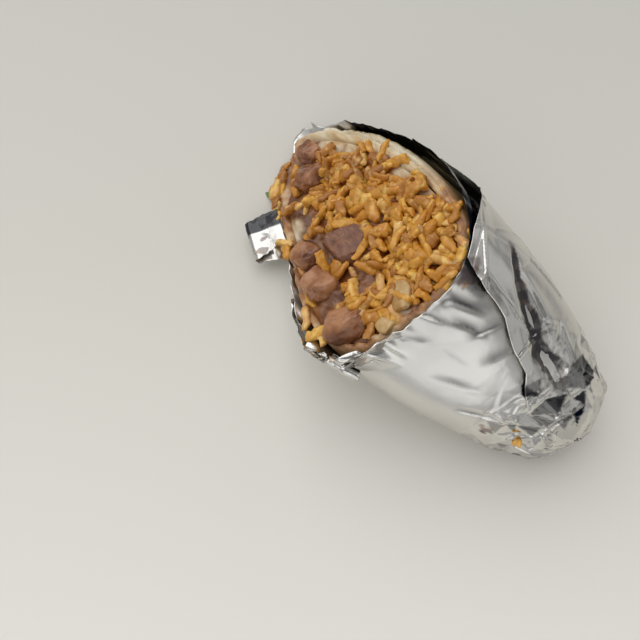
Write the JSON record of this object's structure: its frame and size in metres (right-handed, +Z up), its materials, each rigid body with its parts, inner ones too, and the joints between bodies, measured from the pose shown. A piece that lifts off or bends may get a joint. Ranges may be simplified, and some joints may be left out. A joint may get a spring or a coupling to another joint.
{
  "type": "burrito",
  "caption": "Half of a rice and bean burrito, cut on the bias and still wrapped in crumpled foil, lying with its cut face up.",
  "frame": {"origin": "middle of the underside: the centre of the whole part's box, on the surface that it lies on", "axes": "+X along the roll towards its closed, crumpled foil tail; the cut face looks up and towards -X; +Z up"},
  "size_m": [0.1398, 0.0672, 0.0518],
  "materials": {
    "foil": "crumpled kitchen foil",
    "tortilla": null,
    "rice": null,
    "bean": null,
    "meat": null,
    "onion": null
  },
  "bodies": {
    "root": {"foil_wrap": "foil", "tortilla": "tortilla", "rice_filling": "rice", "bean_1": "bean", "bean_2": "bean", "bean_3": "bean", "bean_4": "bean", "bean_5": "bean", "meat_chunk": "meat", "onion_piece_1": "onion", "onion_piece_2": "onion"}
  },
  "joints": []
}
